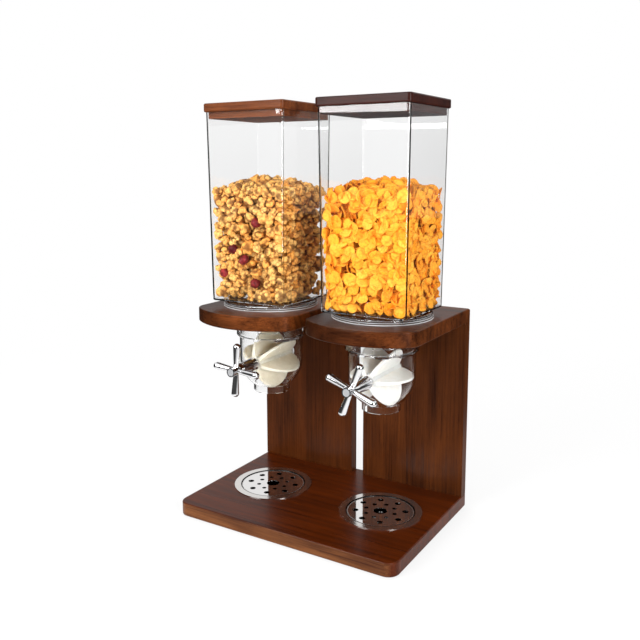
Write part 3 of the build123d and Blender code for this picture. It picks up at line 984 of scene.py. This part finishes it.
def disc_net(rings: tuple[float, ...], turns: int) -> tuple[np.ndarray, np.ndarray, Faces]:
    """Polar net of a thin closed disc: a top and an underside of rings round a middle, joined at the rim.

    Args:
        rings: radius of each ring, the last one the rim.
        turns: points round each ring.

    Returns:
        Place across the disc of each point, +1 or -1 for the side it lies on, and the faces, outwards.
    """
    angle = np.arange(turns) * 2 * np.pi / turns
    circle = np.stack([np.cos(angle), np.sin(angle)], -1)
    flat = np.concatenate([np.zeros((1, 2))] + [circle * radius for radius in rings])
    side = 1 + len(rings) * turns
    here = np.arange(turns)
    following = np.roll(here, -1)
    top = [(0, 1 + a, 1 + b) for a, b in zip(here, following)]
    for ring in range(len(rings) - 1):
        inner = 1 + ring * turns
        outer = inner + turns
        top += [(inner + a, outer + a, outer + b, inner + b) for a, b in zip(here, following)]
    under = [tuple(side + k for k in reversed(face)) for face in top]
    rim = 1 + (len(rings) - 1) * turns
    edge = [(rim + a, side + rim + a, side + rim + b, rim + b) for a, b in zip(here, following)]
    faces = [tuple(int(k) for k in face) for face in top + under + edge]
    return np.concatenate([flat, flat]), np.repeat([1.0, -1.0], side), faces


@dataclass
class Granola:
    """Baked oat clusters, with a few dried fruits among them."""

    space: HopperSpace
    side: Side
    seed: int = 11
    count: int = 660
    small: float = 0.0058
    usual: float = 0.0076
    large: float = 0.0112
    nesting: float = 0.86
    rounds: int = 90
    knobs: int = 15
    knob_height: float = 0.30
    knob_fall: float = 12.0
    knob_swell: float = 1.35
    stretch: float = 0.2
    net_steps: int = 5
    fruit_places: tuple[tuple[float, float, float], ...] = (
        (-0.083, -0.0535, 0.4405), (-0.124, -0.0535, 0.4005), (-0.142, -0.0535, 0.3645),
        (-0.086, -0.0535, 0.3515), (-0.104, -0.0525, 0.3855))
    fruit_size: float = 0.0076
    fruit_creases: float = 0.12
    tone_shape: Pair = (2.0, 2.2)

    def lumps(self, centres: np.ndarray, sizes: np.ndarray, rng: np.random.Generator,
              height: float) -> tuple[np.ndarray, np.ndarray]:
        """Lumpy balls: each direction's radius is raised near some random directions.

        The radius is the size times one less the height, plus the height times the strongest of the knobs,
        each of which falls off as a power of e with one less the cosine of the angle from its own direction.
        The ball is then stretched a little along its own axes.

        Args:
            centres, sizes: place and radius of each ball.
            rng: source of the knobs.
            height: how far the knobs stand out, as a share of the radius.

        Returns:
            The points, by ball, and how deep each lies between the knobs, from 0 to 1.
        """
        directions, _ = ball_net(self.net_steps)
        tips = unit(rng.normal(size=(len(centres), self.knobs, 3)))
        nearness = np.einsum("vk,nbk->nvb", directions, tips)
        swell = np.exp(-(1.0 - nearness) * self.knob_fall).max(2)
        radius = sizes[:, None] * (1.0 - height + height * self.knob_swell * swell)
        stretch = 1.0 + rng.uniform(-self.stretch, self.stretch, (len(centres), 1, 3))
        turn = frames_along(unit(rng.normal(size=(len(centres), 3))), rng)
        shape = directions[None] * radius[..., None] * stretch
        return np.einsum("nij,nvj->nvi", turn, shape) + centres[:, None], 1.0 - swell

    def build(self) -> None:
        """Pack the clusters and the fruit, and settle them on the walls."""
        rng = np.random.default_rng(self.seed)
        fruit = np.array(self.fruit_places)
        sizes = rng.triangular(self.small, self.usual, self.large, self.count)
        sizes[:len(fruit)] = self.fruit_size
        centres = self.space.pack(sizes * self.nesting, rng, fruit, self.rounds)
        body = f"hopper_{self.side.word}"
        _, faces = ball_net(self.net_steps)
        oats, deep = self.lumps(centres[len(fruit):], sizes[len(fruit):], rng, self.knob_height)
        tone = rng.beta(*self.tone_shape, (len(oats), 1))
        # the darkening share here paints shade into the hollows between the knobs
        baked = CerealFinish("granola_oats", linear(255, 210, 126), linear(253, 170, 74), linear(88, 33, 4),
                             2.9 * MM, 1.0 * MM, toast_and_shade_strength=0.80, pitting=0.55)
        clusters = PieceCloud(f"granola_clusters_{self.side.word}", self.space.settle(oats), faces,
                              {"tone": tone, "toast": deep})
        clusters.build(body, "granola", baked.material())
        # the fruit is darker in its creases: painted shade
        berries, creased = self.lumps(fruit, np.full(len(fruit), self.fruit_size), rng, self.fruit_creases)
        dried = CerealFinish("dried_fruit", linear(160, 48, 50), linear(104, 26, 30), linear(60, 12, 16),
                             3.0 * MM, 0.4 * MM, 0.42)
        fruits = PieceCloud(f"dried_fruit_{self.side.word}", self.space.settle(berries), faces,
                            {"tone": rng.random((len(fruit), 1)), "toast": creased})
        fruits.build(body, "granola", dried.material())


@dataclass
class CornFlakes:
    """Thin curled flakes of toasted corn."""

    space: HopperSpace
    side: Side
    seed: int = 58
    count: int = 1340
    reach: float = 0.0054
    rounds: int = 60
    small: float = 0.0066
    usual: float = 0.0098
    large: float = 0.0118
    thickness: float = 0.0011
    rim_thinning: float = 0.55
    rings: tuple[float, ...] = (0.45, 0.82, 1.0)
    turns: int = 12
    rim_waves: tuple[tuple[int, float], ...] = ((2, 0.07), (3, 0.05), (5, 0.03))
    cup: float = 0.16
    saddle: float = 0.17
    ripple: float = 0.10
    wander: float = 0.9
    wall_pull: float = 3.4
    pull_reach: float = 0.007
    weakest: float = 0.4
    rim_toast_and_shade: Pair = (0.7, 0.3)
    tone_shape: Pair = (2.0, 2.4)

    def leanings(self, centres: np.ndarray, rng: np.random.Generator) -> np.ndarray:
        """Normal of each flake: any way, pulled towards the wall's own normal where a wall is near.

        Args:
            centres: the flakes' middles.
            rng: source of the ways.

        Returns:
            Unit normals.
        """
        half_x, half_y = self.space.halves(centres[:, 2])
        off_x = centres[:, 0] - self.space.centre_x
        off_y = centres[:, 1] - self.space.centre_y
        pull_x = np.exp(-(half_x - np.abs(off_x)) / self.pull_reach) * self.wall_pull
        pull_y = np.exp(-(half_y - np.abs(off_y)) / self.pull_reach) * self.wall_pull
        normals = unit(rng.normal(size=centres.shape)) * self.wander
        normals[:, 0] = normals[:, 0] + np.sign(off_x) * pull_x
        normals[:, 1] = normals[:, 1] + np.sign(off_y) * pull_y
        return unit(normals)

    def build(self) -> None:
        """Pack the flakes and curl each one.

        A flake's rim wanders from a circle by three small sines of the angle. Its height is a cup that grows
        with the squared radius, plus a saddle with two waves and a ripple with three, each with its own
        strength.
        """
        rng = np.random.default_rng(self.seed)
        sizes = rng.triangular(self.small, self.usual, self.large, self.count)
        centres = self.space.pack(np.full(self.count, self.reach), rng, np.zeros((0, 3)), self.rounds)
        flat, sides, faces = disc_net(self.rings, self.turns)
        radius = np.linalg.norm(flat, axis=1)[None]
        angle = np.arctan2(flat[:, 1], flat[:, 0])[None]
        phase = rng.uniform(0, 2 * np.pi, (5, self.count, 1))
        strength = rng.uniform(self.weakest, 1.0, (5, self.count, 1))
        rim = np.ones_like(angle)
        for (waves, share), start, push in zip(self.rim_waves, phase, strength):
            rim = rim + share * push * np.sin(waves * angle + start)
        cup = rng.normal(self.cup, self.cup, (self.count, 1))
        height = cup * radius**2 + self.saddle * strength[3] * radius**2 * np.cos(2 * angle + phase[3])
        height = height + self.ripple * strength[4] * radius**2 * np.sin(3 * angle + phase[4])
        thick = self.thickness / 2 * sides[None] * np.where(radius > 0.95, self.rim_thinning, 1.0)
        shape = np.stack([flat[None, :, 0] * rim * sizes[:, None], flat[None, :, 1] * rim * sizes[:, None],
                          height * sizes[:, None] + thick], -1)
        turn = frames_along(self.leanings(centres, rng), rng)
        points = self.space.settle(np.einsum("nij,nvj->nvi", turn, shape) + centres[:, None])
        tone = rng.beta(*self.tone_shape, (self.count, 1))
        baked = CerealFinish("toasted_corn", linear(252, 187, 64), linear(248, 157, 26), linear(196, 94, 4),
                             3.0 * MM, 0.28 * MM, 0.5, toast_and_shade_strength=0.32, pitting=0.40)
        # the darker rim is partly toasting and partly painted shade along each flake's outline
        start, width = self.rim_toast_and_shade
        toast = np.clip((radius - start) / width, 0.0, 1.0)
        flakes = PieceCloud(f"corn_flakes_{self.side.word}", points, faces, {"tone": tone, "toast": toast})
        flakes.build(f"hopper_{self.side.word}", "corn_flakes", baked.material())


@dataclass(frozen=True)
class PhotoView:
    """The photograph's camera, from a perspective fit to the object's edges, in metres and degrees."""

    place: tuple[float, float, float] = (0.565095, -0.932087, 0.520968)
    yaw: float = 31.447
    pitch: float = 8.503
    roll: float = -0.143
    focal_pixels: float = 754.05
    frame_pixels: float = 640.0
    middle_pixels: Pair = (319.67, 279.41)
    sensor: float = 36.0
    clip_start: float = 10 * MM

    def build(self) -> None:
        """Create the camera and make it the scene's."""
        data = bpy.data.cameras.new("photo_camera")
        data.sensor_width = self.sensor
        data.lens = self.focal_pixels / self.frame_pixels * self.sensor
        half = self.frame_pixels / 2
        data.shift_x = (half - self.middle_pixels[0]) / self.frame_pixels
        data.shift_y = (self.middle_pixels[1] - half) / self.frame_pixels
        data.clip_start = self.clip_start
        camera = bpy.data.objects.new("photo_camera", data)
        camera.location = self.place
        camera.rotation_euler = Euler((math.radians(90 - self.pitch), 0.0, math.radians(self.yaw)), "XYZ")
        camera.rotation_euler.rotate_axis("Z", math.radians(self.roll))
        bpy.context.scene.collection.objects.link(camera)
        bpy.context.scene.camera = camera


@dataclass(frozen=True)
class SoftBox:
    """One rectangular soft lamp."""

    name: str
    place: tuple[float, float, float]
    target: tuple[float, float, float]
    width: float
    height: float
    power: float

    def build(self) -> None:
        """Create the lamp, facing its target."""
        data = bpy.data.lights.new(self.name, "AREA")
        data.shape = "RECTANGLE"
        data.size = self.width
        data.size_y = self.height
        data.energy = self.power
        lamp = bpy.data.objects.new(self.name, data)
        lamp.location = self.place
        lamp.rotation_euler = (Vector(self.target) - Vector(self.place)).to_track_quat("-Z", "Y").to_euler()
        bpy.context.scene.collection.objects.link(lamp)


def seen_through(g: Graph, path: Sockets) -> Socket:
    """Mask of the rays that come straight from the camera or through glass, and were never mirrored.

    Args:
        g: the graph of the floor or the world.
        path: the outputs of its Light Path.

    Returns:
        The mask.
    """
    unmirrored = g.math("LESS_THAN", path["Glossy Depth"], 0.5)
    through = g.math("MULTIPLY", path["Is Transmission Ray"], unmirrored)
    return g.math("MAXIMUM", path["Is Camera Ray"], through)


@dataclass(frozen=True)
class FloorFinish(Finish):
    """Pale floor.

    It keeps the object's shadow within the distance near and is white past far. Mirrors see it bright within
    mirrored_near, and as dim as the room past mirrored_far.
    """

    room_level: float
    colour: Colour = (0.90, 0.90, 0.90)
    mottling: Pair = (0.98, 1.0)
    near: float = 0.35
    far: float = 1.3
    near_glow: float = 0.80
    mirrored_near: float = 0.40
    mirrored_far: float = 0.70
    mirrored_glow: float = 0.40

    def shader(self, g: Graph) -> Socket:
        """Matt floor, with its glow for the rays that look for a white background.

        Args:
            g: the material's graph.

        Returns:
            The shader.
        """
        where = g.node("TexCoord").outputs["Object"]
        reach = g.radius(where)
        path = g.node("LightPath").outputs
        dimming = g.spread(reach, self.mirrored_near, self.mirrored_far)
        away = g.math("MULTIPLY", path["Is Glossy Ray"], dimming)
        mottle = g.spread(g.noise(where, 3.0, 3.0), 0.3, 0.7, *self.mottling)
        colour = g.mix(mottle, (0.0, 0.0, 0.0), self.colour)
        colour = g.mix(away, colour, (self.room_level,) * 3)
        lit = g.node("BsdfDiffuse", {}, Color=colour).outputs[0]
        glow = g.node("Emission", {}, Color=(1.0, 1.0, 1.0), Strength=1.0).outputs[0]
        growing = g.spread(reach, self.near, self.far, self.near_glow, 1.0)
        share = g.math("MULTIPLY", seen_through(g, path), growing)
        mirrored = g.math("MULTIPLY", g.math("SUBTRACT", path["Is Glossy Ray"], away), self.mirrored_glow)
        glowing = g.math("ADD", share, mirrored)
        return g.node("MixShader", {}, in0=glowing, in1=lit, in2=glow).outputs[0]


@dataclass
class Studio:
    """Plain pale floor, white surroundings and soft lamps.

    The pairs behind, skyline, ceiling and rising are the stretches of a ray's way along Y or Z over which
    what it sees in the world grows from dim to white.
    """

    floor_size: float = 12.0
    floor_corners: int = 64
    behind: Pair = (0.1, 0.3)
    skyline: Pair = (0.12, 0.2)
    ceiling: Pair = (0.38, 0.55)
    rising: Pair = (0.0, 0.15)
    fill_level: float = 0.70
    room_level: float = 0.035
    glass_level: float = 0.3
    lamps: tuple[SoftBox, ...] = (
        SoftBox("key_lamp", (-0.85, -2.2, 1.340), (0.0, 0.0, 0.35), 1.25, 1.3, 54.0),
        SoftBox("side_lamp", (1.9, -1.1, 0.78), (0.0, 0.0, 0.78), 0.5, 1.4, 36.0),
        SoftBox("top_lamp", (-0.2, 0.35, 2.5), (0.0, 0.0, 0.3), 1.8, 1.4, 16.0),
    )

    def build(self) -> None:
        """Create the floor, the world and the lamps."""
        self.build_floor()
        self.build_world()
        for lamp in self.lamps:
            lamp.build()

    def build_floor(self) -> None:
        """A round floor on the table plane."""
        turns = np.linspace(0.0, 2 * np.pi, self.floor_corners + 1)[:-1]
        rim = np.stack([np.cos(turns), np.sin(turns), np.zeros_like(turns)], 1) * self.floor_size / 2
        mesh = bpy.data.meshes.new("floor")
        mesh.from_pydata(rim.tolist(), [], [list(range(self.floor_corners))])
        floor = bpy.data.objects.new("floor", mesh)
        bpy.context.scene.collection.objects.link(floor)
        mesh.materials.append(FloorFinish("pale_floor", self.room_level).material())

    def build_world(self) -> None:
        """White surroundings and an even soft fill.

        Mirrors see a dim room all round but up and behind. Rays that leave a clear piece see it brighter the
        more they rise.
        """
        world = bpy.data.worlds.new("studio")
        world.use_nodes = True
        bpy.context.scene.world = world
        g = Graph(world.node_tree)
        way = g.node("SeparateXYZ", {}, in0=g.node("TexCoord").outputs["Generated"]).outputs
        behind = g.math("MULTIPLY", g.spread(way[1], *self.behind), g.spread(way[2], *self.skyline))
        shown = g.math("MAXIMUM", behind, g.spread(way[2], *self.ceiling))
        path = g.node("LightPath").outputs
        mirrored = g.math("MULTIPLY", path["Is Glossy Ray"], g.spread(shown, 0.0, 1.0, self.room_level, 1.0))
        upward = g.spread(way[2], *self.rising, self.glass_level, 1.0)
        mirrored = g.math("MAXIMUM", mirrored, g.math("MULTIPLY", path["Is Transmission Ray"], upward))
        direct = seen_through(g, path)
        seen = g.math("MAXIMUM", direct, path["Is Glossy Ray"])
        fill = g.math("MULTIPLY", g.math("SUBTRACT", 1.0, seen), self.fill_level)
        strength = g.math("ADD", fill, g.math("MAXIMUM", direct, mirrored))
        light = g.node("Background", {}, Color=(1.0, 1.0, 1.0), Strength=strength).outputs[0]
        g.node("OutputWorld", {}, Surface=light)


def main() -> None:
    """Build the studio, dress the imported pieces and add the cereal."""
    logging.basicConfig(level=logging.INFO, format="%(name)s: %(message)s")
    bpy.context.scene.view_settings.view_transform = "Standard"
    PhotoView().build()
    Studio().build()
    Stand().dress()
    left = Dispenser(Side.LEFT, linear(62, 28, 12), linear(136, 75, 38), linear(234, 227, 209),
                     linear(220, 210, 188))
    right = Dispenser(Side.RIGHT, linear(28, 10, 8), linear(70, 34, 27), linear(238, 237, 232),
                      linear(229, 226, 219))
    for dispenser in (left, right):
        dispenser.dress()
    Granola(HopperSpace(-HOPPER_X, shell=19.5 * MM), Side.LEFT).build()
    flakes = HopperSpace(HOPPER_X, shell=16 * MM, wall_top=0.4885, crown=16 * MM)
    CornFlakes(flakes, Side.RIGHT).build()


if __name__ == "__main__":
    main()
